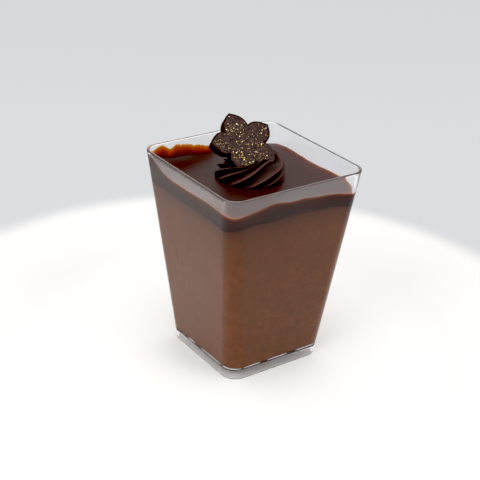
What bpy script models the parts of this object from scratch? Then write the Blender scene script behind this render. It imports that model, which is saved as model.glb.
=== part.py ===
"""Chocolate mousse in a square clear cup.

A tapered square cup of clear plastic holds chocolate mousse up to a few
millimetres below its mouth, and a layer of chocolate glaze on the mousse.
A small piped swirl of chocolate cream sits on the glaze, with a five
petalled plate of dark chocolate, flecked with gold, pressed into it.

Lengths are in metres. The cup stands on Z = 0 with its axis on Z, and its
four walls face -Y (front), +X (right), +Y (back) and -X (left).
"""

import math
import random

import bmesh
import bpy
import numpy as np
from mathutils import Matrix, Vector

MM = 0.001
COLLECTION = "chocolate_mousse_cup"

# Cup: outer half sides of the square at the mouth and the foot
CUP_HEIGHT = 80.0 * MM
MOUTH_HALF = 30.5 * MM
FOOT_HALF = 21.4 * MM
CORNER_RADIUS = 6.1 * MM
WALL = 1.25 * MM
FLOOR_TOP = 5.0 * MM
FLOOR_THICKNESS = 1.2 * MM
CORNER_STEPS = 6
CUTTER_SPARE = 2.0 * MM

# Room left between touching pieces
GAP = 0.3 * MM

# Clearance of the fillings from the cup's outer faces
FILL_INSET = WALL + GAP

# Mousse and glaze: mean level of each top, and the swells of its edge along the walls.
# A swell is its direction (degrees from +X, counter-clockwise), its height and its width in degrees.
MOUSSE_TOP = 67.2 * MM
MOUSSE_SWELLS = ((-45, -2.0 * MM, 8), (-140, -0.6 * MM, 6), (-124, 1.3 * MM, 9), (150, 0.3 * MM, 12))
GLAZE_TOP = 72.6 * MM
GLAZE_EDGE = 73.2 * MM
GLAZE_SWELLS = (
    (-135, -1.3 * MM, 6),
    (-110, 1.9 * MM, 11),
    (-45, -2.9 * MM, 7),
    (10, 0.7 * MM, 9),
    (90, -0.8 * MM, 18),
    (127, 1.0 * MM, 7),
    (136, 2.6 * MM, 5),
    (-157, 0.6 * MM, 12),
)
MENISCUS = 2.0 * MM

# Rings that shape each layer, as shares of the way from the middle to the wall
MOUSSE_TOP_RINGS = (1.0, 0.85, 0.6, 0.3)
GLAZE_BASE_RINGS = (0.3, 0.85, 1.0)
GLAZE_TOP_RINGS = (0.93, 0.86, 0.75, 0.4)
SWELLS_FADE = 3

# Smear of glaze left on the back wall: its ends along the wall, its top at the left end, its fall to the
# right, the shares of its length over which each end rises, and its edge's waves as pitch, depth and phase
SMEAR_FROM = -27.5 * MM
SMEAR_TO = 5.0 * MM
SMEAR_TOP = 78.4 * MM
SMEAR_FALL = 3.2 * MM
SMEAR_FALL_POWER = 1.4
SMEAR_LEFT_END = 0.06
SMEAR_RIGHT_END = 0.12
SMEAR_THICKNESS = 0.6 * MM
SMEAR_FOOT = 0.35 * MM
SMEAR_WAVES = ((3.9 * MM, 0.55 * MM, 0.4), (1.7 * MM, 0.35 * MM, 2.1), (6.7 * MM, 0.45 * MM, 1.0))

# Swirl: a ring of twelve twisted ribs round a dished middle, as an outline from its foot over the crest to
# the middle, and how far the crest leans away from the foot
SWIRL_CENTRE = Vector((-0.1, 1.9)) * MM
SWIRL_LEAN = Vector((2.0, 1.1)) * MM
SWIRL_OUTLINE = (
    (12.4, 0.0), (13.2, 0.7), (13.5, 1.8), (13.3, 3.1), (12.8, 4.4), (12.0, 5.5),
    (10.9, 6.3), (9.7, 6.7), (8.8, 6.3), (7.9, 5.4), (6.4, 4.3), (4.2, 3.6), (1.5, 3.4),
)
WIDEST_RADIUS = 13.5 * MM
CREST_RADIUS = 9.7 * MM
CREST_RISE = 6.7 * MM
SWIRL_RINGS = 26

# Ribs: where the first one starts, how deep the valleys are, how round the crests are, where the ribs fade
# out towards the middle, how far and how soon they turn to face up, and how shallow and long their toes are
RIBS = 12
RIB_STEPS = 8
FIRST_RIB = -129.0
RIB_DEPTH = 2.0 * MM
RIB_ROUNDNESS = 1.35
RIBS_FADE_FROM = 10.0 * MM
RIB_LYING = 0.75
RIBS_LIE_OVER = 3.5 * MM
TOE_DEPTH = 0.55
TOE_RUN = 3.0 * MM

# Uneven piping, as swells of the crest: where it stands higher or lower, and where it slopes in more or less
CREST_SWELLS = ((54, 1.2 * MM, 90), (-140, -0.3 * MM, 30))
SLOPE_SWELLS = ((144, 2.4 * MM, 60), (-148, -1.3 * MM, 26))

# Twist of the ribs on their way up, in degrees for each millimetre and each square millimetre
TWIST_RATE = 5.0 / MM
TWIST_GROWTH = 0.47 / MM**2
TWIST_STEADY_FROM = 11.0 * MM

# Some ribs run flatter and turn further: that extra turn, where it starts and how far on it peaks, in
# degrees, with the run over which it builds up
DRAG_TURN = 50.0
DRAG_FROM = -170.6
DRAG_RISE = 75.0
DRAG_RUN = 6.0 * MM

# Flower plate: its middle, the way its face looks, and the reach of its petals
FLOWER_CENTRE = Vector((-0.44, 4.97, 84.97)) * MM
FLOWER_TURN = -5.6
FLOWER_ELEVATION = 51.5
FLOWER_SPIN = 97.3
FLOWER_THICKNESS = 2.9 * MM
PETALS = 5
PETAL_TIP = 13.1 * MM
PETAL_NOTCH = 7.5 * MM
PETAL_BULGE = 1.45 * MM
PETAL_SKEW = 0.3
PETAL_STEPS = 7

# Gold flecks: clusters on the face, each as place across, place up, spread and number
FLECK_CLUSTERS = (
    (-3.6 * MM, 6.2 * MM, 1.7 * MM, 14),
    (2.2 * MM, -6.0 * MM, 2.0 * MM, 14),
    (-4.5 * MM, -5.5 * MM, 2.2 * MM, 12),
    (0.0 * MM, 0.0 * MM, 5.5 * MM, 30),
)
FLECK_LENGTH = (0.45 * MM, 0.8 * MM)
FLECK_ASPECT = (0.5, 0.9)
FLECK_THICKNESS = 0.24 * MM
FLECK_EDGE = 0.6 * MM
FLECK_SPACING = 0.75 * MM
FLECK_SEED = 11

# Creases sharper than these angles, in degrees, stay sharp
CUP_CREASE = 30
FILLING_CREASE = 40
SWIRL_CREASE = 50
WELD_DISTANCE = 0.01 * MM


def half_side(z):
    """Outer half side of the cup at a height."""
    return FOOT_HALF + (MOUTH_HALF - FOOT_HALF) * z / CUP_HEIGHT


def new_object(name, mesh, collection):
    obj = bpy.data.objects.new(name, mesh)
    collection.objects.link(obj)
    return obj


def mesh_from(bm, name):
    mesh = bpy.data.meshes.new(name)
    bm.normal_update()
    bm.to_mesh(mesh)
    bm.free()
    return mesh


def material(name, colour, roughness, alpha=1.0, metallic=0.0):
    """A Principled material with the piece's own colour."""
    made = bpy.data.materials.new(name)
    made.use_nodes = True
    shader = made.node_tree.nodes["Principled BSDF"]
    shader.inputs["Base Color"].default_value = (*colour, 1.0)
    shader.inputs["Roughness"].default_value = roughness
    shader.inputs["Alpha"].default_value = alpha
    shader.inputs["Metallic"].default_value = metallic
    made.diffuse_color = (*colour, alpha)
    return made


def smooth(obj, angle):
    """Round faces shaded smooth, with creases sharper than the angle kept."""
    obj.data.shade_smooth()
    obj.data.set_sharp_from_angle(angle=math.radians(angle))


def apply_modifiers(obj):
    """The evaluated mesh becomes the object's own."""
    graph = bpy.context.evaluated_depsgraph_get()
    mesh = bpy.data.meshes.new_from_object(obj.evaluated_get(graph))
    obj.modifiers.clear()
    obj.data = mesh


def cut(obj, cutter, name):
    """A Boolean difference that stays live on the object."""
    modifier = obj.modifiers.new(name, "BOOLEAN")
    modifier.operation = "DIFFERENCE"
    modifier.solver = "EXACT"
    modifier.object = cutter


def as_cutter(obj):
    obj.hide_render = True
    obj.display_type = "WIRE"
    return obj


def tapered_block(name, low, high, inset, collection):
    """A square block that widens upwards as the cup does, inset from its faces, with round upright edges."""
    bm = bmesh.new()
    bmesh.ops.create_cube(bm, size=2.0)
    for vertex in bm.verts:
        z = high if vertex.co.z > 0 else low
        half = half_side(z) - inset
        vertex.co = Vector((math.copysign(half, vertex.co.x), math.copysign(half, vertex.co.y), z))
    upright = [e for e in bm.edges if abs(e.verts[0].co.z - e.verts[1].co.z) > MM]
    bmesh.ops.bevel(
        bm, geom=upright, offset=CORNER_RADIUS - inset, segments=CORNER_STEPS, profile=0.5, affect="EDGES"
    )
    return new_object(name, mesh_from(bm, name), collection)


def build_cup(parts, cutters):
    """The clear cup: four sloping walls, a raised floor and a hollow foot under it."""
    cup = tapered_block("cup", 0.0, CUP_HEIGHT, 0.0, parts)
    cavity = as_cutter(tapered_block("cavity", FLOOR_TOP, CUP_HEIGHT + CUTTER_SPARE, WALL, cutters))
    hollow_to = FLOOR_TOP - FLOOR_THICKNESS
    recess = as_cutter(tapered_block("foot_recess", -CUTTER_SPARE, hollow_to, WALL, cutters))
    cut(cup, cavity, "cavity")
    cut(cup, recess, "foot recess")
    smooth(cup, CUP_CREASE)
    cup.data.materials.append(material("clear_plastic", (0.86, 0.88, 0.9), 0.05, alpha=0.3))
    return cup


def outline_samples(flat_steps):
    """Points round a square with round corners, with that many steps on the -Y, +X, +Y and -X sides.

    Each is its place on the square of the corners' centres, in half sides, and the way the wall faces there.
    """
    samples = []
    for side, steps in enumerate(flat_steps):
        turn = math.radians(90 * side - 90)
        normal = Vector((math.cos(turn), math.sin(turn)))
        along = Vector((-normal.y, normal.x))
        for i in range(steps):
            samples.append((normal + along * (2 * i / steps - 1), normal))
        for i in range(CORNER_STEPS):
            angle = turn + math.radians(90) * i / CORNER_STEPS
            samples.append((normal + along, Vector((math.cos(angle), math.sin(angle)))))
    return samples


def on_outline(sample, z, inset):
    """The sample's point at a height, inset from the cup's outer face."""
    core, normal = sample
    radius = CORNER_RADIUS - inset
    return core * (half_side(z) - CORNER_RADIUS) + normal * radius


def direction(sample):
    """Where the sample lies round the cup, in degrees from +X."""
    place = on_outline(sample, GLAZE_TOP, WALL)
    return math.degrees(math.atan2(place.y, place.x))


def swelling(angle, swells):
    """Sum of the smooth swells at a direction."""
    total = 0.0
    for centre, height, width in swells:
        away = (angle - centre + 180) % 360 - 180
        total += height * math.exp(-((away / width) ** 2))
    return total


def loft(rings, bottom, top):
    """A closed mesh through rings of as many points each, from its bottom middle to its top middle."""
    bm = bmesh.new()
    made = [[bm.verts.new(point) for point in ring] for ring in rings]
    first = bm.verts.new(bottom)
    last = bm.verts.new(top)
    count = len(made[0])
    for i in range(count):
        j = (i + 1) % count
        bm.faces.new((first, made[0][j], made[0][i]))
        bm.faces.new((last, made[-1][i], made[-1][j]))
        for low, high in zip(made, made[1:]):
            bm.faces.new((low[i], low[j], high[j], high[i]))
    return bm


def layer_ring(samples, share, height):
    """One ring of a filling: the room's outline at that share of the way out, at each point's own height."""
    ring = []
    for sample in samples:
        z = height(sample, share)
        place = on_outline(sample, z, FILL_INSET) * share
        ring.append(Vector((place.x, place.y, z)))
    return ring


def mousse_floor(_sample, _share):
    return FLOOR_TOP + GAP


def mousse_height(sample, share):
    """Top of the mousse, level in the middle and swelling towards the walls."""
    return MOUSSE_TOP + swelling(direction(sample), MOUSSE_SWELLS) * share**SWELLS_FADE


def build_mousse(parts):
    """The mousse fills the cup from its floor to the glaze."""
    samples = outline_samples((10, 10, 10, 10))
    rings = [layer_ring(samples, 1.0, mousse_floor)]
    rings += [layer_ring(samples, share, mousse_height) for share in MOUSSE_TOP_RINGS]
    bm = loft(rings, (0, 0, FLOOR_TOP + GAP), (0, 0, MOUSSE_TOP))
    mousse = new_object("mousse", mesh_from(bm, "mousse"), parts)
    smooth(mousse, FILLING_CREASE)
    mousse.data.materials.append(material("mousse", (0.165, 0.082, 0.054), 0.6))
    return mousse


def glaze_base(sample, share):
    return mousse_height(sample, share) + GAP


def glaze_height(sample, share):
    """Top of the glaze: level in the middle, drawn up or down to its edge close to the walls."""
    edge = GLAZE_EDGE + swelling(direction(sample), GLAZE_SWELLS)
    from_wall = (1 - share) * half_side(GLAZE_TOP)
    return GLAZE_TOP + (edge - GLAZE_TOP) * math.exp(-from_wall / MENISCUS)


def smear_height(sample):
    """Top of the glaze smeared up the back wall, or 0 where there is none."""
    place = on_outline(sample, SMEAR_TOP, WALL)
    behind = place.y > half_side(SMEAR_TOP) - CORNER_RADIUS
    if not behind or not SMEAR_FROM < place.x < SMEAR_TO:
        return 0.0
    along = (place.x - SMEAR_FROM) / (SMEAR_TO - SMEAR_FROM)
    ragged = 0.0
    for pitch, depth, phase in SMEAR_WAVES:
        ragged += depth * math.sin(2 * math.pi * place.x / pitch + phase)
    full = SMEAR_TOP - SMEAR_FALL * along**SMEAR_FALL_POWER + ragged
    rising = min(1.0, along / SMEAR_LEFT_END, (1 - along) / SMEAR_RIGHT_END)
    return GLAZE_EDGE + (full - GLAZE_EDGE) * rising


def glaze_wall_height(sample, share):
    """Top of the glaze against the wall, with the smear where it stands higher."""
    return max(glaze_height(sample, share), smear_height(sample))


def build_glaze(parts):
    """The glaze lies on the mousse, meets the walls in a wavy edge and climbs the back wall as a smear."""
    samples = outline_samples((14, 14, 40, 14))
    smear_face = 1 - SMEAR_THICKNESS / half_side(GLAZE_TOP)
    smear_foot = smear_face - SMEAR_FOOT / half_side(GLAZE_TOP)
    rings = [layer_ring(samples, share, glaze_base) for share in GLAZE_BASE_RINGS]
    rings += [layer_ring(samples, share, glaze_wall_height) for share in (1.0, smear_face)]
    rings += [layer_ring(samples, share, glaze_height) for share in (smear_foot, *GLAZE_TOP_RINGS)]
    bm = loft(rings, (0, 0, MOUSSE_TOP + GAP), (0, 0, GLAZE_TOP))
    glaze = new_object("glaze", mesh_from(bm, "glaze"), parts)
    smooth(glaze, FILLING_CREASE)
    glaze.data.materials.append(material("glaze", (0.045, 0.018, 0.012), 0.12))
    return glaze


def outline_at(share):
    """Radius, rise and length run so far, at a share of the swirl's outline."""
    radii, rises = np.array(SWIRL_OUTLINE).T * MM
    lengths = np.concatenate(([0.0], np.cumsum(np.hypot(np.diff(radii), np.diff(rises)))))
    run = share * lengths[-1]
    return float(np.interp(run, lengths, radii)), float(np.interp(run, lengths, rises)), run


def ease(share):
    """Smooth step from 0 to 1."""
    share = min(1.0, max(0.0, share))
    return share * share * (3 - 2 * share)


def twist(run):
    """Turn of the ribs, in degrees, after that much of the outline."""
    bent = min(run, TWIST_STEADY_FROM)
    steady_rate = TWIST_RATE + 2 * TWIST_GROWTH * TWIST_STEADY_FROM
    return TWIST_RATE * bent + TWIST_GROWTH * bent * bent + steady_rate * (run - bent)


def drag(start, run):
    """Extra turn of a rib that starts at that angle, in degrees: fast to build up and slow to die away."""
    past = (start - DRAG_FROM) % 360
    share = ease(past / DRAG_RISE)
    if past > DRAG_RISE:
        share = 1 - ease((past - DRAG_RISE) / (360 - DRAG_RISE))
    return DRAG_TURN * share * ease(run / DRAG_RUN)


def swirl_ring(share):
    """One ring of the swirl, with a rounded crest on each rib and a sharp valley between ribs."""
    radius, rise, run = outline_at(share)
    base = GLAZE_TOP + GAP
    up = rise / CREST_RISE if radius > CREST_RADIUS else 1.0
    middle = SWIRL_CENTRE + SWIRL_LEAN * up
    lying = RIB_LYING * ease((WIDEST_RADIUS - radius) / RIBS_LIE_OVER)
    depth = RIB_DEPTH * min(1.0, radius / RIBS_FADE_FROM) * min(1.0, TOE_DEPTH + run / TOE_RUN)
    count = RIBS * RIB_STEPS
    ring = []
    for i in range(count):
        from_crest = abs((i / RIB_STEPS + 0.5) % 1.0 - 0.5) * 2
        inwards = depth * from_crest**RIB_ROUNDNESS
        start = FIRST_RIB + 360 * i / count
        angle = start + twist(run) + drag(start, run)
        slope = swelling(angle, SLOPE_SWELLS) * ease(up) * radius / WIDEST_RADIUS
        lift = swelling(angle, CREST_SWELLS) * ease(up)
        r = radius - slope - inwards * (1 - lying)
        z = base + max(0.0, rise + lift - inwards * lying)
        place = middle + Vector((math.cos(math.radians(angle)), math.sin(math.radians(angle)))) * r
        ring.append(Vector((place.x, place.y, z)))
    return ring


def build_swirl(parts, flower_room):
    """The piped swirl, dented where the flower plate is pressed into it."""
    rings = [swirl_ring(i / (SWIRL_RINGS - 1)) for i in range(SWIRL_RINGS)]
    base = GLAZE_TOP + GAP
    top = SWIRL_CENTRE + SWIRL_LEAN
    crown = sum(point.z for point in rings[-1]) / len(rings[-1])
    bm = loft(rings, (SWIRL_CENTRE.x, SWIRL_CENTRE.y, base), (top.x, top.y, crown))
    swirl = new_object("swirl", mesh_from(bm, "swirl"), parts)
    cut(swirl, flower_room, "flower")
    smooth(swirl, SWIRL_CREASE)
    swirl.data.materials.append(material("swirl", (0.03, 0.013, 0.009), 0.3))
    return swirl


def petal_outline(grown=0.0):
    """The flower's outline in its own plane: five petals with pointed tips, bulging towards the notches."""
    side = []
    notch = Vector((math.cos(math.pi / PETALS), math.sin(math.pi / PETALS))) * PETAL_NOTCH
    tip = Vector((PETAL_TIP, 0.0))
    run = tip - notch
    out = Vector((-run.y, run.x)).normalized()
    if out.dot(notch) < 0:
        out = -out
    for i in range(PETAL_STEPS + 1):
        t = i / PETAL_STEPS
        bulge = PETAL_BULGE * 4 * t * (1 - t) * (1 + PETAL_SKEW * (1 - 2 * t))
        side.append(notch + run * t + out * bulge)
    petal = side + [Vector((p.x, -p.y)) for p in reversed(side[1:-1])]
    points = []
    for k in range(PETALS):
        turn = Matrix.Rotation(math.radians(FLOWER_SPIN - 360 / PETALS * k), 2)
        points += [turn @ p for p in petal]
    return [p * (1 + grown / PETAL_NOTCH) for p in points]


def flower_matrix(depth):
    """Places a plate whose middle is that far behind the flower's face."""
    turn = math.radians(FLOWER_TURN)
    rise = math.radians(FLOWER_ELEVATION)
    normal = Vector((math.sin(turn) * math.cos(rise), -math.cos(turn) * math.cos(rise), math.sin(rise)))
    across = Vector((math.cos(turn), math.sin(turn), 0.0))
    up = normal.cross(across)
    placed = Matrix((across, up, normal)).transposed().to_4x4()
    placed.translation = FLOWER_CENTRE - normal * depth
    return placed


def plate(name, outline, thickness, depth, collection):
    """A flat plate cut to an outline, as a welded mesh in its place."""
    curve = bpy.data.curves.new(name, "CURVE")
    curve.dimensions = "2D"
    curve.fill_mode = "BOTH"
    curve.extrude = thickness / 2
    spline = curve.splines.new("POLY")
    spline.points.add(len(outline) - 1)
    for point, place in zip(spline.points, outline):
        point.co = (place.x, place.y, 0.0, 1.0)
    spline.use_cyclic_u = True
    drawn = new_object(name + "_curve", curve, collection)
    graph = bpy.context.evaluated_depsgraph_get()
    mesh = bpy.data.meshes.new_from_object(drawn.evaluated_get(graph))
    mesh.name = name
    bpy.data.objects.remove(drawn)
    bm = bmesh.new()
    bm.from_mesh(mesh)
    bmesh.ops.remove_doubles(bm, verts=bm.verts, dist=WELD_DISTANCE)
    bmesh.ops.recalc_face_normals(bm, faces=bm.faces)
    bm.to_mesh(mesh)
    bm.free()
    made = new_object(name, mesh, collection)
    made.matrix_world = flower_matrix(depth)
    return made


def inside(point, outline, margin):
    """Whether a point lies inside the outline by the margin: a ray's crossings, and each side's distance."""
    crossings = 0
    for a, b in zip(outline, outline[1:] + outline[:1]):
        side = b - a
        if (a.y > point.y) != (b.y > point.y):
            crossings += point.x < a.x + side.x * (point.y - a.y) / side.y
        along = max(0.0, min(1.0, (point - a).dot(side) / side.length_squared))
        if (point - a - side * along).length < margin:
            return False
    return crossings % 2 == 1


def fleck_places(outline, draw):
    """Places of the gold flecks on the flower's face, thick in some clusters and thin elsewhere."""
    places = []
    for across, up, spread, number in FLECK_CLUSTERS:
        placed = 0
        while placed < number:
            place = Vector((draw.gauss(across, spread), draw.gauss(up, spread)))
            clear = all((place - other).length > FLECK_SPACING for other in places)
            if clear and inside(place, outline, FLECK_EDGE):
                places.append(place)
                placed += 1
    return places


def build_flecks(outline, collection):
    """One small slanted flake of gold at each place, half sunk in the flower's face."""
    draw = random.Random(FLECK_SEED)
    placed = flower_matrix(0.0)
    for place in fleck_places(outline, draw):
        bm = bmesh.new()
        bmesh.ops.create_cube(bm, size=1.0)
        length = draw.uniform(*FLECK_LENGTH)
        width = length * draw.uniform(*FLECK_ASPECT)
        size = Matrix.Diagonal((length, width, FLECK_THICKNESS, 1.0))
        turn = Matrix.Rotation(draw.uniform(0, math.pi), 4, "Z")
        onto_face = placed @ Matrix.Translation(place.to_3d()) @ turn @ size
        bmesh.ops.transform(bm, matrix=onto_face, verts=bm.verts)
        new_object("fleck", mesh_from(bm, "fleck"), collection)


def build_flower(parts, flakes):
    """The chocolate flower plate, with its larger gold flecks fused to its face."""
    outline = petal_outline()
    flower = plate("flower", outline, FLOWER_THICKNESS, FLOWER_THICKNESS / 2, parts)
    build_flecks(outline, flakes)
    union = flower.modifiers.new("flecks", "BOOLEAN")
    union.operation = "UNION"
    union.solver = "EXACT"
    union.operand_type = "COLLECTION"
    union.collection = flakes
    apply_modifiers(flower)
    for flake in list(flakes.objects):
        bpy.data.objects.remove(flake)
    smooth(flower, FILLING_CREASE)
    flower.data.materials.append(material("dark_chocolate", (0.05, 0.024, 0.02), 0.35))
    return flower


def build_flower_room(cutters):
    """The room that the flower plate takes up in the swirl."""
    room = plate(
        "flower_room", petal_outline(GAP), FLOWER_THICKNESS + 2 * GAP, FLOWER_THICKNESS / 2, cutters
    )
    return as_cutter(room)


def new_collection(name):
    made = bpy.data.collections.new(name)
    bpy.context.scene.collection.children.link(made)
    return made


def main():
    for obj in list(bpy.data.objects):
        bpy.data.objects.remove(obj)
    parts = new_collection(COLLECTION)
    cutters = new_collection("cutters")
    flakes = new_collection("flakes")
    build_cup(parts, cutters)
    build_mousse(parts)
    build_glaze(parts)
    build_swirl(parts, build_flower_room(cutters))
    build_flower(parts, flakes)
    bpy.data.collections.remove(flakes)


main()
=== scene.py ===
"""Chocolate mousse in a square clear cup.

The cup, the mousse, the glaze, its smear on the back wall, the trapped air,
the piped swirl, the chocolate flower and its gold flakes are each made by an
operator of their own, and one more sets the floor, the lights and the camera.
Lengths are in metres, +Z is up, and the cup's walls face -Y (front),
+X (right), +Y (back) and -X (left).
"""

import math
import random

import bpy
import numpy as np
from bpy.props import FloatProperty, FloatVectorProperty, IntProperty, PointerProperty
from mathutils import Matrix, Vector, noise


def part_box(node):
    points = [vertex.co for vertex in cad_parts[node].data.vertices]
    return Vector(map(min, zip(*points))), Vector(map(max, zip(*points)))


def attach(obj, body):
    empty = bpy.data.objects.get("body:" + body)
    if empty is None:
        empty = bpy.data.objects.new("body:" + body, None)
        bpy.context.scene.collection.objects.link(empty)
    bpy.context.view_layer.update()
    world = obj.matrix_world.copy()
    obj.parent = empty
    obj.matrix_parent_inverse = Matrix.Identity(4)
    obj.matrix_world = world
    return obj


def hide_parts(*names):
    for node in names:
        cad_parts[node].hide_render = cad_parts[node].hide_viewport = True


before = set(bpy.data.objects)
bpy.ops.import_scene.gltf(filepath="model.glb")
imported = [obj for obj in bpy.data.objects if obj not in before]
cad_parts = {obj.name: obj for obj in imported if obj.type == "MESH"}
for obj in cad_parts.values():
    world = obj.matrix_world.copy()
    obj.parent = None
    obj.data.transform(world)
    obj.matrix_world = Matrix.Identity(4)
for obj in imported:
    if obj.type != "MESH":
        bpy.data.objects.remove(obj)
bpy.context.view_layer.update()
CUP_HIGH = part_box("cup")[1]

bl_info = {
    "name": "Chocolate Mousse Cup",
    "version": (1, 0, 0),
    "blender": (4, 5, 0),
    "location": "3D View > Sidebar > Dessert",
    "description": "Makes a clear cup of chocolate mousse with glaze, a piped swirl and a gilded flower",
    "category": "Add Mesh",
}

MM = 0.001
BODY = "root"

# Cup: its roundings and fillets, and the heights of its rings as shares of its own height
LIP_ROUNDING = 0.41 * MM
LIP_STEPS = 5
WALL_SHARES = (0.06, 0.25, 0.5, 0.75, 0.9, 0.98)
INNER_SHARES = (0.85, 0.65, 0.4, 0.2)
FILLET_STEPS = 6
FLOOR_FILLET = 0.7 * MM
CEILING_FILLET = 0.9 * MM
FLAT_REACH = 4.0 * MM
MIDDLE_SHARE = 0.4
FOOT_ROUNDING = 0.3 * MM
FOOT_STEPS = 4
CORNER_STEPS = 20
FLAT_STEPS = 56
HAZED_ABOVE_GLAZE = 0.1 * MM

# How far the fillings reach into the wall, so that no air shows between them
WETTING = 0.12 * MM

# Swells of the edges along the walls, each as direction in degrees, height and width in degrees
MOUSSE_SWELLS = (
    (-45, -2.0 * MM, 8),
    (-92, 1.3 * MM, 26),
    (-140, -0.6 * MM, 6),
    (-124, 1.0 * MM, 9),
    (150, 0.3 * MM, 12),
)
GLAZE_SWELLS = (
    (-135, -0.9 * MM, 6),
    (-110, 1.9 * MM, 11),
    (-88, 1.0 * MM, 11),
    (-46, -2.5 * MM, 11),
    (0, -1.3 * MM, 34),
    (48, -2.4 * MM, 12),
    (90, -0.8 * MM, 18),
    (138.5, 4.8 * MM, 10.5),
    (-157, 0.5 * MM, 12),
)
SWELLS_FADE = 3

# Ripples of the edges, each as height, pitch and seed
MOUSSE_RIPPLE = (0.18 * MM, 4.0 * MM, 3)
GLAZE_RIPPLE = (0.12 * MM, 2.5 * MM, 5)
GLAZE_RIPPLE_RADIUS = 30.0 * MM

# Mousse: depths of its rings below its edge in millimetres, and shares of those on its top
MOUSSE_DEPTHS = (48, 36, 24, 16, 10, 7, 5, 4, 3, 2.4, 1.8, 1.3, 0.9, 0.5, 0.2, 0.0)
MOUSSE_TOP_SHARES = (0.95, 0.8, 0.5, 0.2)
MOUSSE_FLAT_REACH = 6.0 * MM

# Stain of the glaze in the mousse: its least depth and what its patches add, in millimetres
STAIN_DEPTH = 2.6
STAIN_PATCHES_ADD = 5.0
STAIN_PATCH_WIDTH = 9.0 * MM
STAIN_SEED = 8
STAIN_STRENGTH = 0.78

# How the glaze sags near the back wall under its smear
HOLLOW_SWELLS = ((117, -0.65 * MM, 37),)
HOLLOW_FROM = 5.0 * MM

# Glaze: its rings below, up the wall and on top, its gloss, and how it thins at its edge
GLAZE_UNDER_SHARES = (0.3, 0.8)
GLAZE_SINKS = 0.05 * MM
EDGE_ROWS = (0.0, 0.3, 0.55, 0.7, 0.78, 0.84, 0.89, 0.93, 0.965, 0.985, 1.0)
GLAZE_TOP_SHARES = (
    0.999, 0.996, 0.99, 0.98, 0.97, 0.955, 0.94, 0.92, 0.89, 0.85,
    0.8, 0.72, 0.64, 0.56, 0.48, 0.4, 0.32, 0.24, 0.16, 0.08,
)
GLAZE_SHINE = {
    "Roughness": 0.45,
    "IOR": 1.42,
    "Specular_IOR_Level": 0.3,
    "Coat_Weight": 0.36,
    "Coat_Roughness": 0.33,
    "Coat_IOR": 1.5,
}
# Paler colouring of the top close to the walls, partly painted light shining through the thin glaze: where it
# is held back, and its reach
THICK_EDGE = ((104, -1.0, 40),)
THIN_TOP = 2.2 * MM

# Smear on the back wall: its ends, and its top's height at places along the wall, in millimetres
SMEAR_FROM = -28.4 * MM
SMEAR_TO = 6.0 * MM
SMEAR_ENDS = (0.02, 0.2)
SMEAR_TOP = (
    (-28.4, 77.4), (-26.6, 77.9), (-24.2, 78.5), (-22.8, 79.2), (-21.9, 79.5), (-20.9, 79.0), (-19.6, 77.8),
    (-18.2, 77.3), (-16.8, 77.5), (-16.2, 78.3), (-15.4, 78.5), (-13.9, 78.1), (-11.2, 77.9), (-8.6, 77.0),
    (-5.7, 76.4), (-2.7, 75.8), (-0.2, 75.3), (6.0, 74.6),
)
SMEAR_RIPPLES = ((1.8 * MM, 0.4 * MM, 12), (0.8 * MM, 0.22 * MM, 13))
SMEAR_STEPS = 180
SMEAR_ROWS = 14
SMEAR_THICKNESS = 0.3 * MM
SMEAR_THINNEST = 0.02 * MM
SMEAR_THINS_OVER = 3.0 * MM
SMEAR_SINKS = 1.5 * MM
SMEAR_IN_WALL = 0.04 * MM
SMEAR_END_SHARE = 0.15
SMEAR_STOPS = (
    (0.2, (0.3, 0.16, 0.12)),
    (0.44, (0.54, 0.23, 0.12)),
    (0.6, (0.72, 0.28, 0.13)),
    (0.76, (0.8, 0.4, 0.15)),
    (0.88, (0.86, 0.57, 0.3)),
)

# Trapped air: thin lines at the floor's edge, painted pale as the reflection they show, each as name, first
# direction and last one in degrees
AIR_LINES = (
    ("air_line_left", -180.0, -143.0),
    ("air_line_corner", -141.5, -111.5),
    ("air_line_front", -103.5, -75.0),
    ("air_line_right", -66.0, -46.5),
    ("air_line_far", 156.0, 171.0),
)
AIR_RISE = -0.25 * MM
AIR_HEIGHT = 0.5 * MM
AIR_THICKNESS = 0.06 * MM
AIR_ROWS = 3
AIR_RIPPLE = (0.05 * MM, 1.5 * MM, 4)
AIR_TAPER = 0.3

# Swirl: its outline from the foot over the crest to the middle, in millimetres, its ribs and their twist
SWIRL_CENTRE = Vector((-0.1, 1.9)) * MM
SWIRL_LEAN = Vector((2.0, 1.1)) * MM
SWIRL_OUTLINE = (
    (12.4, 0.0), (13.2, 0.7), (13.5, 1.8), (13.3, 3.1), (12.8, 4.4), (12.0, 5.5),
    (10.9, 6.3), (9.7, 6.7), (8.8, 6.3), (7.9, 5.4), (6.4, 4.3), (4.2, 3.6), (1.5, 3.4),
)
SWIRL_SINKS = 0.2 * MM
WIDEST_RADIUS = 13.5 * MM
CREST_RADIUS = 9.7 * MM
CREST_RISE = 6.7 * MM
SWIRL_RINGS = 90
RIBS = 12
RIB_STEPS = 22
FIRST_RIB = -129.0
RIB_DEPTH = 2.1 * MM
VALLEY = 0.34
RIB_SHARPNESS = 1.9
RIB_EDGE = 0.2
# Width of the painted highlight along each rib's crest, as a share of the way to the valley
CREST_HIGHLIGHT_WIDTH = 0.26
RIBS_FADE_FROM = 10.0 * MM
RIB_LYING = 0.75
RIBS_LIE_OVER = 3.5 * MM
TOE_DEPTH = 0.55
TOE_RUN = 3.0 * MM
CREST_SWELLS = ((54, 1.2 * MM, 90), (-137, 0.4 * MM, 28), (-96, 2.7 * MM, 28))
SLOPE_SWELLS = ((144, 2.4 * MM, 60), (-148, -1.3 * MM, 26))
TWIST_RATE = 5.0 / MM
TWIST_GROWTH = 0.47 / MM**2
TWIST_STEADY_FROM = 11.0 * MM
DRAG_TURN = 50.0
DRAG_FROM = -170.6
DRAG_RISE = 75.0
DRAG_RUN = 6.0 * MM

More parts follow.
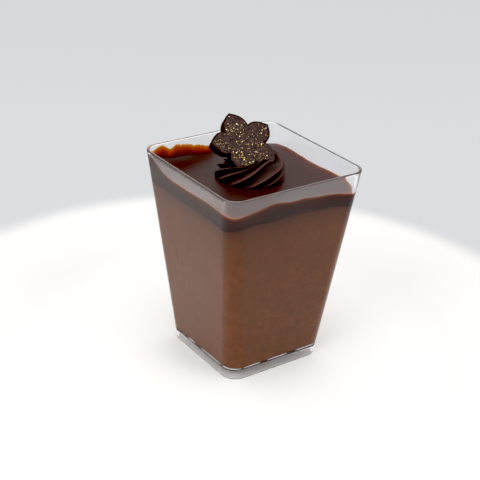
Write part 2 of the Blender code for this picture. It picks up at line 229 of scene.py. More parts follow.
# Flower: its middle, the way its face looks, and the shape of its petals
FLOWER_CENTRE = Vector((-0.44, 4.97, 84.97)) * MM
FLOWER_TURN = -5.6
FLOWER_ELEVATION = 51.5
PETAL_TIPS = (
    (97.3, 13.1 * MM),
    (24.5, 13.5 * MM),
    (-46.7, 13.1 * MM),
    (-120.0, 12.3 * MM),
    (173.0, 13.8 * MM),
)
PETAL_NOTCHES = (
    (60.0, 8.1 * MM),
    (-12.0, 8.2 * MM),
    (-83.0, 8.7 * MM),
    (-153.0, 8.3 * MM),
    (139.0, 8.5 * MM),
)
PETAL_BULGE = 1.35 * MM
PETAL_SKEW = 0.3
PETAL_STEPS = 18
FACE_SHARES = (0.98, 0.965, 0.95, 0.93, 0.91, 0.88, 0.84, 0.8, 0.7, 0.55, 0.4, 0.2)
# Band of painted shade along the plate's upper outline: its width, and the height in the plate's plane above
# which it runs
SHADED_RIM_WIDTH = 0.7 * MM
SHADED_RIM_FROM = -2.0 * MM
ROUNDING_STEPS = 4
ROUNDED_FROM = 40
SHARP_FROM = 50

# Gold: clusters on the flower's face, each as place across, place up, spread and number
FLAKE_CLUSTERS = (
    (-3.4 * MM, 6.3 * MM, 1.5 * MM, 28),
    (-4.7 * MM, -4.2 * MM, 1.0 * MM, 9),
    (-1.2 * MM, -0.2 * MM, 0.9 * MM, 8),
    (-3.9 * MM, -8.4 * MM, 1.3 * MM, 14),
    (-1.4 * MM, -9.4 * MM, 1.2 * MM, 8),
    (3.7 * MM, -7.2 * MM, 1.3 * MM, 18),
    (-10.0 * MM, 0.6 * MM, 1.9 * MM, 18),
    (1.4 * MM, -3.0 * MM, 2.8 * MM, 12),
    (-7.2 * MM, -5.6 * MM, 1.0 * MM, 6),
    (5.8 * MM, -3.0 * MM, 1.4 * MM, 10),
    (8.9 * MM, 2.6 * MM, 1.6 * MM, 10),
    (0.0 * MM, 1.2 * MM, 6.6 * MM, 80),
)
FLAKE_EDGE = 0.75 * MM
FLAKE_SPACING = 0.32 * MM
FLAKE_SEED = 11
FLAKE_LIFT = 0.02 * MM
FLAKE_SIDES = 6
FLAKE_SHORTEST = 0.6
FLAKE_LONGER_BY = 1.1
FLAKE_WIDTHS = (0.35, 0.95)
FLAKE_TILT = 0.35
GOLD_TONES = (
    (0.0, (0.85, 0.42, 0.22)),
    (0.35, (0.95, 0.66, 0.2)),
    (0.7, (1.0, 0.84, 0.34)),
    (1.0, (1.0, 0.92, 0.68)),
)

# Textures, each as the pitch, detail and roughness of its noise
PLASTIC_WAVES = (14.0 * MM, 1.0)
MOUSSE_CLOUDS = (5.0 * MM, 4.0, 0.65)
MOUSSE_MOTTLES = (2.2 * MM, 2.0)
MOUSSE_GRAIN = (0.5 * MM, 3.0, 0.7)
MOUSSE_PORES = 0.75 * MM
GLAZE_WAVES = (5.0 * MM, 2.0)
SMEAR_PATCHES = (1.1 * MM, 3.0)
AIR_GRAIN = (0.6 * MM, 2.0)
CREAM_CLOUDS = (2.5 * MM, 3.0)
CREAM_GRAIN = (0.6 * MM, 3.0)
CHOCOLATE_GRAIN = (0.6 * MM, 4.0, 0.75)
CHOCOLATE_BLOOM = (3.5 * MM, 3.0)
CHOCOLATE_SPECKS = (0.9 * MM, 1.0)
RIM_GRAIN = (0.5 * MM, 3.0)

# Tones of those textures, as multiples of the colour that they vary
MOUSSE_SHADE = Vector((0.84, 0.76, 0.84))
MOUSSE_LIGHT = 1.18
MOTTLE_TONE = 0.7
# Painted shade in the mousse's pores
PORE_SHADE_TONE = 0.45
BUBBLE_TONE = 1.5
STAIN_TONE = 1.6
CREAM_TONES = (0.8, 1.25)
CHOCOLATE_TONES = (0.2, 2.0)
BLOOM_TONE = 1.2
BLOOM_GREY = Vector((0.004, 0.004, 0.005))
SPECK_TONE = 0.15
# Painted shade on the plate's sides and rim
SHADED_RIM_TONES = (0.3, 0.7)
LAMP_LIGHT_THROUGH = (0.93, 0.935, 0.94)

# Camera: where it stands and looks from the middle of the cup, and its roll, in metres and degrees
CAMERA_AZIMUTH = -35.637
CAMERA_ELEVATION = 26.474
CAMERA_ROLL = 2.396
CAMERA_DISTANCE = 0.441084
CAMERA_SHIFTED = (-3.359 * MM, 5.383 * MM)
CAMERA_AIM = Vector((0.0, 0.0, 40.0)) * MM
CAMERA_LENS = 85.37
CAMERA_CLIP = 0.01

# Lamps: where they stand, how wide they are and where they look, in metres
KEY_PLACE = (-0.75, -0.1, 0.5)
FILL_PLACE = (0.35, -0.7, 0.55)
LAMP_WIDTH = 0.5
LAMP_AIM = Vector((0.0, 0.0, 0.05))
SKY_STEEPNESS = 8.0

# Floor: its painted pool of light round the cup, wider to one side, in metres
FLOOR_RADIUS = 3.0
FLOOR_STEPS = 96
LIT_POOL_MIDDLE = (0.03, 0.09)
LIT_POOL_CENTRE = (-0.004, 0.004, 0.0)
LIT_POOL_EDGE = (0.133, 0.15)
LIT_POOL_BULGE_TOWARDS = (-0.925, 0.381, 0.0)
LIT_POOL_BULGE = (0.092, 0.122, 0.0, 0.024)


def length_setting(label, words, value):
    """A length that the sidebar shows."""
    return FloatProperty(name=label, description=words, default=value, min=0.0, unit="LENGTH", precision=5)


def colour_setting(label, words, value):
    """A linear colour that the sidebar shows."""
    limits = {"min": 0.0, "max": 1.0}
    return FloatVectorProperty(name=label, description=words, default=value, subtype="COLOR", **limits)


def share_setting(label, words, value):
    """A share from 0 to 1 that the sidebar shows."""
    return FloatProperty(name=label, description=words, default=value, min=0.0, max=1.0, subtype="FACTOR")


def light_setting(label, words, value, unit="NONE"):
    """A strength of light that the sidebar shows."""
    return FloatProperty(name=label, description=words, default=value, min=0.0, unit=unit)


class CupSettings(bpy.types.PropertyGroup):
    """Sizes and clarity of the cup."""

    height: length_setting("Height", "Height of the cup", CUP_HIGH.z)
    mouth_half: length_setting("Mouth", "Outer half side of the cup at its mouth", CUP_HIGH.x)
    foot_half: length_setting("Foot", "Outer half side of the cup at its foot", 21.4 * MM)
    corner: length_setting("Corner", "Outer radius of the upright corners", 6.1 * MM)
    foot_wall: length_setting("Wall at foot", "Thickness of the walls at the foot", 1.25 * MM)
    mouth_wall: length_setting("Wall at mouth", "Thickness of the walls at the mouth", 1.2 * MM)
    floor_top: length_setting("Floor", "Height of the floor inside", 5.0 * MM)
    floor_thickness: length_setting("Floor thickness", "Thickness of the floor", 1.2 * MM)
    tint: colour_setting("Tint", "Tint of the clear plastic", (0.985, 0.99, 1.0))
    haze: share_setting("Haze", "Haze on the inside of the walls above the glaze", 0.05)
    lip_haze: share_setting("Lip haze", "Haze on the flat and the inner edge of the lip", 0.15)
    roughness: share_setting("Roughness", "Roughness of the clear plastic", 0.015)


class FillingSettings(bpy.types.PropertyGroup):
    """Levels and colours of the mousse and the glaze."""

    mousse_top: length_setting("Mousse level", "Mean height of the mousse's top", 67.5 * MM)
    glaze_top: length_setting("Glaze level", "Mean height of the glaze's top", 72.6 * MM)
    glaze_edge: length_setting("Glaze edge", "Mean height of the glaze along the walls", 73.8 * MM)
    meniscus: length_setting("Meniscus", "Width over which the glaze is drawn up the walls", 2.0 * MM)
    mousse_colour: colour_setting("Mousse", "Colour of the mousse", (0.178, 0.059, 0.018))
    glaze_colour: colour_setting("Glaze", "Colour of the thick glaze", (0.036, 0.009, 0.006))
    # The thin glaze's colours are partly its own and partly painted light that shines through the thin edge
    # from behind
    thin_colour: colour_setting("Thin glaze", "Colour close to the glaze's edge", (0.075, 0.016, 0.009))
    edge_and_backlight_colour: colour_setting("Glaze edge", "Colour where the glaze thins out", (0.32, 0.1, 0.028))
    smear_colour: colour_setting("Smear", "Light through the thinnest smear", (0.99, 0.79, 0.5))
    edge_fade: length_setting("Edge fade", "Depth over which the glaze's edge darkens", 1.3 * MM)
    smear_fade: length_setting("Smear fade", "Depth over which the smear darkens", 3.2 * MM)


class SwirlSettings(bpy.types.PropertyGroup):
    """Look of the piped swirl."""

    colour: colour_setting("Colour", "Colour of the cream between its ribs", (0.034, 0.0185, 0.0155))
    # Painted highlight: the colour given to the crests of the ribs, where the light falls
    crest_highlight_colour: colour_setting("Crests", "Colour of the crests of its ribs", (0.105, 0.052, 0.042))
    roughness: share_setting("Roughness", "Roughness of the cream", 0.38)


class FlowerSettings(bpy.types.PropertyGroup):
    """Sizes and colours of the flower and its gold."""

    thickness: length_setting("Thickness", "Thickness of the plate", 2.9 * MM)
    rounding: length_setting("Rounding", "Rounding of the plate's edges", 0.18 * MM)
    colour: colour_setting("Chocolate", "Colour of the dark chocolate", (0.062, 0.032, 0.026))
    flake_size: length_setting("Flake size", "Mean length of a gold flake", 0.36 * MM)
    flake_thickness: length_setting("Flake thickness", "Thickness of a gold flake", 0.08 * MM)
    flake_seed: IntProperty(name="Flake seed", description="Seed of the flakes' sizes and turns", default=4)


class StageSettings(bpy.types.PropertyGroup):
    """Light and floor."""

    # Painted light: the floor's colours, brightest close to the cup and greyer farther away
    near_lit_colour: colour_setting("Near floor", "Colour of the floor close to the cup", (0.955, 0.94, 0.925))
    lit_floor_colour: colour_setting("Floor", "Colour of the floor round the cup", (0.8, 0.79, 0.78))
    dim_far_colour: colour_setting("Far floor", "Colour of the floor farther away", (0.57, 0.575, 0.59))
    sky_low: light_setting("Low sky", "Strength of the light near the horizon", 0.7)
    sky_high: light_setting("High sky", "Strength added overhead", 2.2)
    key_power: light_setting("Key", "Power of the lamp on the left", 1.9, "POWER")
    fill_power: light_setting("Fill", "Power of the lamp in front", 1.3, "POWER")
    black_level: light_setting("Black level", "Light that prints as black", 0.03)


def swelling(angles, swells):
    """Sum of the smooth swells at each direction."""
    total = np.zeros_like(angles)
    for centre, height, width in swells:
        away = (angles - centre + 180) % 360 - 180
        total += height * np.exp(-((away / width) ** 2))
    return total


def ease(share):
    """Smooth step from 0 to 1."""
    share = np.clip(share, 0.0, 1.0)
    return share * share * (3 - 2 * share)


def wobble(points, pitch, seed):
    """Smooth noise from -1 to 1 at each point, with bumps about as wide as the pitch."""
    shift = Vector((seed * 7.3, seed * 3.1, seed * 5.7))
    return np.array([noise.noise(Vector(p) / pitch + shift) for p in points])


def ripple(points, height, pitch, seed):
    """The same noise at that height."""
    return height * wobble(points, pitch, seed)


def mesh_object(name, points, faces):
    """A smooth mesh object in the scene."""
    mesh = bpy.data.meshes.new(name)
    mesh.from_pydata([tuple(p) for p in points], [], faces)
    mesh.validate()
    mesh.shade_smooth()
    made = bpy.data.objects.new(name, mesh)
    bpy.context.scene.collection.objects.link(made)
    return made


def loft(name, rings, bottom, top):
    """A closed mesh through rings of as many points each, from its bottom middle to its top middle."""
    count = len(rings[0])
    points = np.concatenate([*rings, [bottom], [top]])
    first = len(points) - 2
    last = len(points) - 1
    after = [(i + 1) % count for i in range(count)]
    faces = [(first, after[i], i) for i in range(count)]
    for row in range(len(rings) - 1):
        low = row * count
        high = low + count
        faces += [(low + i, low + after[i], high + after[i], high + i) for i in range(count)]
    end = (len(rings) - 1) * count
    faces += [(last, end + i, end + after[i]) for i in range(count)]
    return mesh_object(name, points, faces)


def closed_sheet(rows, steps):
    """Faces of a sheet with two sides, each of so many rows and steps, closed along its rim."""
    side = rows * steps
    faces = []
    for row in range(rows - 1):
        for i in range(steps - 1):
            a = row * steps + i
            b = a + steps
            faces.append((a, b, b + 1, a + 1))
            faces.append((side + a, side + a + 1, side + b + 1, side + b))
    rim = list(range(steps))
    rim += [row * steps + steps - 1 for row in range(1, rows)]
    rim += [side - 1 - i for i in range(1, steps)]
    rim += [row * steps for row in range(rows - 2, 0, -1)]
    for a, b in zip(rim, rim[1:] + rim[:1]):
        faces.append((a, b, side + b, side + a))
    return faces


def attribute(obj, name, values):
    """Stores a number at each vertex for the material."""
    stored = obj.data.attributes.new(name, "FLOAT", "POINT")
    stored.data.foreach_set("value", np.asarray(values, dtype=np.float32))


class CupForm:
    """The cup's outline at any height, as a square with round corners."""

    def __init__(self, cup, flat_steps=FLAT_STEPS):
        self.cup = cup
        cores = []
        normals = []
        for side in range(4):
            turn = math.radians(90 * side - 90)
            facing = np.array((math.cos(turn), math.sin(turn)))
            along = np.array((-facing[1], facing[0]))
            for i in range(flat_steps):
                cores.append(facing + along * (2 * i / flat_steps - 1))
                normals.append(facing)
            for i in range(CORNER_STEPS):
                angle = turn + math.radians(90) * i / CORNER_STEPS
                cores.append(facing + along)
                normals.append((math.cos(angle), math.sin(angle)))
        self.core = np.array(cores)
        self.normal = np.array(normals)
        place = self.level(cup.height, 0.0)
        self.angle = np.degrees(np.arctan2(place[:, 1], place[:, 0]))

    def half_side(self, z):
        """Outer half side of the cup at a height."""
        return self.cup.foot_half + (self.cup.mouth_half - self.cup.foot_half) * z / self.cup.height

    def wall(self, z):
        """Thickness of the wall at a height."""
        return self.cup.foot_wall + (self.cup.mouth_wall - self.cup.foot_wall) * z / self.cup.height

    def ring(self, heights, inset, share=1.0):
        """The outline's points at their heights, inset from the outer face and drawn towards the middle."""
        half = self.half_side(heights)[:, None] - self.cup.corner
        round_part = self.cup.corner - np.broadcast_to(inset, heights.shape)[:, None]
        flat = (self.core * half + self.normal * round_part) * share
        return np.column_stack((flat, heights))

    def level(self, z, inset, share=1.0):
        """The same, all at one height."""
        return self.ring(np.full(len(self.core), z), inset, share)

    def filled(self, heights, share=1.0):
        """The outline of what fills the cup, which reaches just into the wall."""
        return self.ring(heights, self.wall(heights) - WETTING, share)


class Nodes:
    """A node tree and a short way to add nodes to it."""

    prefix = ""

    def __init__(self, tree):
        self.nodes = tree.nodes
        self.links = tree.links

    def feed(self, socket, value):
        """Links an output to the socket, or sets its value."""
        if isinstance(value, bpy.types.NodeSocket):
            self.links.new(value, socket)
        elif isinstance(socket.default_value, bpy.types.bpy_prop_array) and len(socket.default_value) == 4:
            socket.default_value = (*value[:3], 1.0)
        else:
            socket.default_value = value

    def add(self, kind, fed=None, **choices):
        """A new node with its choices made and its inputs fed."""
        node = self.nodes.new(self.prefix + kind)
        for key, value in choices.items():
            setattr(node, key, value)
        for key, value in (fed or {}).items():
            self.feed(node.inputs[key], value)
        return node

    def figure(self, way, *fed, kind="Math"):
        """The result of a sum on numbers or, with the other kind of node, on vectors."""
        node = self.nodes.new("ShaderNode" + kind)
        node.operation = way
        for socket, value in zip(node.inputs, fed):
            self.feed(socket, value)
        return node.outputs["Value"]


class Shader(Nodes):
    """A material's nodes."""

    prefix = "ShaderNode"

    def __init__(self, name, **values):
        self.material = bpy.data.materials.new(name)
        self.material.use_nodes = True
        super().__init__(self.material.node_tree)
        self.surface = self.nodes["Principled BSDF"]
        for key, value in values.items():
            self.feed(self.surface.inputs[key.replace("_", " ")], value)

    def place(self, scale=(1.0, 1.0, 1.0)):
        """Object coordinates, stretched."""
        coordinates = self.add("TexCoord").outputs["Object"]
        return self.add("Mapping", {"Vector": coordinates, "Scale": scale}).outputs["Vector"]

    def noise(self, pitch, detail=3.0, rough=0.5, vector=None):
        """Noise whose bumps are about as wide as the pitch."""
        fed = {"Vector": vector or self.place(), "Scale": 1.0 / pitch, "Detail": detail, "Roughness": rough}
        return self.add("TexNoise", fed).outputs["Fac"]

    def stored(self, name):
        """A number stored on the mesh."""
        return self.add("Attribute", attribute_name=name).outputs["Fac"]

    def spread(self, value, low, high, to_low=0.0, to_high=1.0, way="LINEAR"):
        """The value mapped from one range to another."""
        fed = {"Value": value, "From Min": low, "From Max": high, "To Min": to_low, "To Max": to_high}
        return self.add("MapRange", fed, interpolation_type=way).outputs["Result"]

    def blend(self, share, first, second):
        """Two colours mixed."""
        node = self.add("Mix", data_type="RGBA")
        self.feed(node.inputs["Factor"], share)
        self.feed(node.inputs[6], first)
        self.feed(node.inputs[7], second)
        return node.outputs[2]

    def ramp(self, value, stops):
        """A colour for each share, smoothly in between."""
        node = self.add("ValToRGB", {"Fac": value})
        stop = node.color_ramp.elements
        while len(stop) < len(stops):
            stop.new(0.5)
        for element, (place, colour) in zip(stop, stops):
            element.position = place
            element.color = (*colour, 1.0)
        return node.outputs["Color"]

    def bump(self, height, strength, distance):
        """Bumps the surface."""
        bumped = self.add("Bump", {"Height": height, "Strength": strength, "Distance": distance})
        self.feed(self.surface.inputs["Normal"], bumped.outputs["Normal"])

    def colour(self, value):
        """Colours the surface."""
        self.feed(self.surface.inputs["Base Color"], value)

    def show(self, shader):
        """The shader that the material shows."""
        self.links.new(shader, self.nodes["Material Output"].inputs["Surface"])

    def mixed(self, share, first, second):
        """Two shaders mixed."""
        node = self.add("MixShader", {"Fac": share})
        self.links.new(first, node.inputs[1])
        self.links.new(second, node.inputs[2])
        return node.outputs["Shader"]


def clear_plastic(cup, name, haze):
    """Clear moulded plastic, a little uneven, that lets the lamps' light through to what is behind it."""
    made = Shader(name, Base_Color=cup.tint, Roughness=cup.roughness, IOR=1.5, Transmission_Weight=1.0 - haze)
    made.bump(made.noise(*PLASTIC_WAVES), 0.06, 1.2 * MM)
    through = made.add("BsdfTransparent", {"Color": LAMP_LIGHT_THROUGH}).outputs["BSDF"]
    lamp_ray = made.add("LightPath").outputs["Is Shadow Ray"]
    made.show(made.mixed(lamp_ray, made.surface.outputs["BSDF"], through))
    return made.material


def mousse_look(filling):
    """Mousse against the wall: clouds, mottles, pores darkened with painted shade, fine bubbles, and the
    glaze's stain along its top.
    """
    made = Shader("chocolate_mousse", Roughness=0.7, Specular_IOR_Level=0.0)
    colour = Vector(filling.mousse_colour)
    upright = made.place((1.0, 1.0, 0.45))
    cloud = made.spread(made.noise(*MOUSSE_CLOUDS, upright), 0.3, 0.7)
    body = made.blend(cloud, colour * MOUSSE_SHADE, colour * MOUSSE_LIGHT)
    mottle = made.spread(made.noise(*MOUSSE_MOTTLES), 0.38, 0.62)
    mottled = made.blend(mottle, body, colour * MOTTLE_TONE)
    # Painted shade: dark spots where the pores' pits are
    pore = made.add("TexVoronoi", {"Vector": made.place(), "Scale": 1 / MOUSSE_PORES}).outputs["Distance"]
    pore_shaded = made.blend(made.spread(pore, 0.12, 0.36, 0.7, 0.0), mottled, colour * PORE_SHADE_TONE)
    grain = made.spread(made.noise(*MOUSSE_GRAIN), 0.3, 0.7)
    bubbly = made.blend(made.spread(grain, 0.0, 1.0, 0.0, 0.8), pore_shaded, colour * BUBBLE_TONE)
    made.colour(made.blend(made.stored("stain"), bubbly, Vector(filling.glaze_colour) * STAIN_TONE))
    made.bump(grain, 0.3, 0.1 * MM)
    return made.material


def glaze_look(filling, name, **gloss):
    """Thick dark glaze, redder and paler where it thins out at its edge: partly the thin glaze's own colour,
    partly painted light that shines through the thin edge from behind.
    """
    made = Shader(name, **gloss)
    # Partly painted light: paler towards the thin edge, as if lit through from behind
    stops = ((0.0, filling.glaze_colour), (0.5, filling.thin_colour), (1.0, filling.edge_and_backlight_colour))
    made.colour(made.ramp(made.stored("thin"), stops))
    made.bump(made.noise(*GLAZE_WAVES), 0.08, 0.5 * MM)
    return made.material


def smear_look(filling):
    """Glaze smeared on the wall: dark red where it is thick and clear orange where it is thin."""
    made = Shader("glaze_smear", Roughness=0.25, IOR=1.46)
    patch = made.spread(made.noise(*SMEAR_PATCHES), 0.25, 0.75, -0.1, 0.1)
    thin = made.figure("ADD", made.stored("thin"), patch)
    hue = made.ramp(thin, (*SMEAR_STOPS, (1.0, filling.smear_colour)))
    made.colour(hue)
    lit_through = made.add("BsdfTranslucent", {"Color": hue}).outputs["BSDF"]
    seen_through = made.add("BsdfTransparent", {"Color": hue}).outputs["BSDF"]
    soft = made.mixed(0.5, lit_through, seen_through)
    made.show(made.mixed(made.spread(thin, 0.0, 0.45, 0.45, 0.96), made.surface.outputs["BSDF"], soft))
    return made.material


def air_reflection_look():
    """Thin air between the mousse and the wall, painted pale as a painted reflection."""
    # Painted reflection: an opaque pale colour where the thin air would shine
    made = Shader("trapped_air_painted_reflection", Base_Color=(0.95, 0.93, 0.95), Roughness=0.4)
    made.bump(made.noise(*AIR_GRAIN), 0.2, 0.05 * MM)
    return made.material


def swirl_look(swirl):
    """Piped dark cream with a satin shine, and a painted highlight that colours the crests of its ribs paler.
    """
    made = Shader("chocolate_cream", Roughness=swirl.roughness, IOR=1.45, Specular_IOR_Level=0.18)
    dark, pale = (Vector(swirl.colour) * tone for tone in CREAM_TONES)
    body = made.blend(made.spread(made.noise(*CREAM_CLOUDS), 0.3, 0.7), dark, pale)
    # Painted highlight: the crests are coloured paler
    made.colour(made.blend(made.stored("crest"), body, swirl.crest_highlight_colour))
    made.bump(made.noise(*CREAM_GRAIN), 0.12, 0.15 * MM)
    return made.material


def chocolate_look(flower):
    """The flower's face: dull dark chocolate, finely streaked, with a faint bloom and darker specks."""
    made = Shader("dark_chocolate", IOR=1.45, Specular_IOR_Level=0.48)
    colour = Vector(flower.colour)
    streaked = made.place((1.0, 0.55, 0.55))
    grain = made.spread(made.noise(*CHOCOLATE_GRAIN, streaked), 0.36, 0.64)
    bloom = made.spread(made.noise(*CHOCOLATE_BLOOM), 0.35, 0.65, 0.0, 0.5)
    specks = made.spread(made.noise(*CHOCOLATE_SPECKS), 0.56, 0.64, 0.0, 0.8)
    body = made.blend(grain, *(colour * tone for tone in CHOCOLATE_TONES))
    bloomed = made.blend(bloom, body, colour * BLOOM_TONE + BLOOM_GREY)
    made.colour(made.blend(specks, bloomed, colour * SPECK_TONE))
    made.feed(made.surface.inputs["Roughness"], made.spread(grain, 0.0, 1.0, 0.38, 0.58))
    made.bump(grain, 1.0, 0.26 * MM)
    return made.material


def shaded_rim_look(flower):
    """The plate's cut sides and rounded rim: dull, and darker with painted shade."""
    made = Shader("chocolate_rim_painted_shade", Roughness=0.7, Specular_IOR_Level=0.15)
    grain = made.spread(made.noise(*RIM_GRAIN), 0.3, 0.7)
    # Painted shade: the chocolate's colour darkened
    made.colour(made.blend(grain, *(Vector(flower.colour) * tone for tone in SHADED_RIM_TONES)))
    made.bump(grain, 0.3, 0.08 * MM)
    return made.material


def gold_look():
    """Edible gold, from coppery to pale."""
    made = Shader("gold_leaf", Metallic=1.0, Roughness=0.32)
    made.colour(made.ramp(made.stored("tone"), GOLD_TONES))
    return made.material


def lit_pool_floor_look(stage):
    """Pale floor with a painted pool of light: brightest close to the cup, and greyer away from it as painted
    fall-off of the light.
    """
    made = Shader("pale_floor_painted_light", Roughness=0.6, Specular_IOR_Level=0.0)
    distance = made.figure("DISTANCE", made.place(), LIT_POOL_CENTRE, kind="VectorMath")
    sideways = made.figure("DOT_PRODUCT", made.place(), LIT_POOL_BULGE_TOWARDS, kind="VectorMath")
    distance = made.figure("SUBTRACT", distance, made.spread(sideways, *LIT_POOL_BULGE))
    lit_pool = made.blend(made.spread(distance, *LIT_POOL_MIDDLE), stage.near_lit_colour, stage.lit_floor_colour)
    # Painted fall-off of the light: greyer away from the cup
    away = made.spread(distance, *LIT_POOL_EDGE, way="SMOOTHSTEP")
    made.colour(made.blend(away, lit_pool, stage.dim_far_colour))
    return made.material


def finish_piece(obj, material, slot, *nodes):
    """Gives the piece its material, its body and the solids that it stands for. The slot is not used."""
    obj.data.materials.clear()
    obj.data.materials.append(material)
    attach(obj, BODY)
    if nodes:
        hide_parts(*nodes)


def finish_faces(obj, material, chosen):
    """Gives the chosen faces of a piece a material of their own."""
    obj.data.materials.append(material)
    for face, is_chosen in zip(obj.data.polygons, chosen):
        if is_chosen:
            face.material_index = len(obj.data.materials) - 1


def arc(centre_a, centre_b, radius, start, end, steps):
    """Points of an arc in a profile, as pairs."""
    turns = np.radians(np.linspace(start, end, steps + 1))
    return [(centre_a + radius * math.cos(t), centre_b + radius * math.sin(t)) for t in turns]


def cup_profile(cup, form):
    """Pairs of inset and height, from the hollow foot's ceiling round the foot and the lip to the floor."""
    ceiling = cup.floor_top - cup.floor_thickness
    foot = form.wall(0.0)
    lip = form.wall(cup.height)
    floor = form.wall(cup.floor_top)
    edge = FOOT_ROUNDING
    top = LIP_ROUNDING
    points = [(foot + FLAT_REACH, ceiling)]
    points += arc(foot + CEILING_FILLET, ceiling - CEILING_FILLET, CEILING_FILLET, 90, 180, FILLET_STEPS)
    points += arc(foot - edge, edge, edge, 0, -90, FOOT_STEPS)
    points += arc(edge, edge, edge, -90, -180, FOOT_STEPS)
    points += [(0.0, cup.height * share) for share in WALL_SHARES]
    points += arc(top, cup.height - top, top, 180, 90, LIP_STEPS)
    points += arc(lip - top, cup.height - top, top, 90, 0, LIP_STEPS)
    points += [(form.wall(cup.height * share), cup.height * share) for share in INNER_SHARES]
    points += arc(floor + FLOOR_FILLET, cup.floor_top + FLOOR_FILLET, FLOOR_FILLET, 180, 270, FILLET_STEPS)
    points += [(floor + FLAT_REACH, cup.floor_top)]
    return points


class DESSERT_OT_cup(bpy.types.Operator):
    """Makes the clear cup with its rounded lip, raised floor and hollow foot"""

    bl_idname = "dessert.cup"
    bl_label = "Clear Cup"

    def execute(self, context):
        cup = context.scene.dessert_cup
        filling = context.scene.dessert_filling
        form = CupForm(cup)
        profile = cup_profile(cup, form)
        rings = [form.level(z, inset) for inset, z in profile]
        under_lip = cup.height * INNER_SHARES[0]
        inner = profile.index((form.wall(under_lip), under_lip))
        edge = glaze_edge_heights(filling, form.angle) + HAZED_ABOVE_GLAZE
        rings.insert(inner, form.ring(edge, form.wall(edge)))
        ceiling = cup.floor_top - cup.floor_thickness
        rings.insert(0, form.level(ceiling, cup.foot_wall, MIDDLE_SHARE))
        rings.append(form.level(cup.floor_top, cup.foot_wall, MIDDLE_SHARE))
        shell = loft("clear_cup", rings, (0, 0, ceiling), (0, 0, cup.floor_top))
        finish_piece(shell, clear_plastic(cup, "clear_plastic", 0.0), "clear_plastic", "cup")
        bands = (
            (inner, inner + 1, "hazed_plastic", cup.haze),
            (inner - LIP_STEPS - 1, inner, "lip_plastic", cup.lip_haze),
        )
        for first, last, name, haze in bands:
            band = range(first * len(form.core), (last + 1) * len(form.core))
            chosen = [all(i in band for i in face.vertices) for face in shell.data.polygons]
            finish_faces(shell, clear_plastic(cup, name, haze), chosen)
        return {"FINISHED"}


def mousse_heights(filling, form, share):
    """Top of the mousse round a ring, level in the middle and swelling towards the walls."""
    rippled = ripple(form.level(filling.mousse_top, 0.0), *MOUSSE_RIPPLE)
    return filling.mousse_top + (swelling(form.angle, MOUSSE_SWELLS) + rippled) * share**SWELLS_FADE


class DESSERT_OT_mousse(bpy.types.Operator):
    """Fills the cup with mousse up to the glaze, wetting the walls"""

    bl_idname = "dessert.mousse"
    bl_label = "Mousse"

    def execute(self, context):
        cup = context.scene.dessert_cup
        filling = context.scene.dessert_filling
        form = CupForm(cup)
        floor = cup.floor_top - WETTING
        inset = form.wall(floor) - WETTING
        top = mousse_heights(filling, form, 1.0)
        fillet = FLOOR_FILLET
        rings = [form.level(floor, inset + MOUSSE_FLAT_REACH)]
        for corner_inset, z in arc(inset + fillet, floor + fillet, fillet, 270, 180, FILLET_STEPS):
            rings.append(form.level(z, corner_inset))
        stain = [np.zeros(len(top))] * len(rings)
        patch = 0.5 + 0.5 * wobble(form.level(filling.mousse_top, 0.0), STAIN_PATCH_WIDTH, STAIN_SEED)
        soaked = (STAIN_DEPTH + STAIN_PATCHES_ADD * patch) * MM
        for depth in MOUSSE_DEPTHS:
            rings.append(form.filled(top - depth * MM))
            stain.append(np.exp(-depth * MM / soaked) * STAIN_STRENGTH)
        for share in MOUSSE_TOP_SHARES:
            rings.append(form.filled(mousse_heights(filling, form, share), share))
            stain.append(np.ones(len(top)))
        body = loft("chocolate_mousse", rings, (0, 0, floor), (0, 0, filling.mousse_top))
        attribute(body, "stain", np.concatenate([*stain, [0.0, 1.0]]))
        finish_piece(body, mousse_look(filling), "mousse", "mousse")
        return {"FINISHED"}


def glaze_edge_heights(filling, angles):
    """Height of the glaze's edge along the walls, by direction in degrees."""
    round_trip = np.radians(angles)
    circle = np.column_stack((np.cos(round_trip), np.sin(round_trip), 0 * round_trip))
    rippled = ripple(circle * GLAZE_RIPPLE_RADIUS, *GLAZE_RIPPLE)
    return filling.glaze_edge + swelling(angles, GLAZE_SWELLS) + rippled


def glaze_heights(filling, form, share):
    """Top of the glaze round a ring: level in the middle, drawn to its edge close to the walls."""
    from_wall = (1 - share) * form.half_side(filling.glaze_top)
    reach = math.exp(-from_wall / filling.meniscus)
    sag = from_wall / HOLLOW_FROM * math.exp(1 - from_wall / HOLLOW_FROM)
    rise = glaze_edge_heights(filling, form.angle) - filling.glaze_top
    return filling.glaze_top + rise * reach + swelling(form.angle, HOLLOW_SWELLS) * sag


def smear_top(along):
    """Height of the smear's ragged top at each place along the back wall."""
    places, heights = np.array(SMEAR_TOP).T * MM
    top = np.interp(along, places, heights)
    line = np.column_stack((along, 0 * along, 0 * along))
    for pitch, height, seed in SMEAR_RIPPLES:
        top += height * (0.5 - np.abs(wobble(line, pitch, seed)) * 2)
    return top


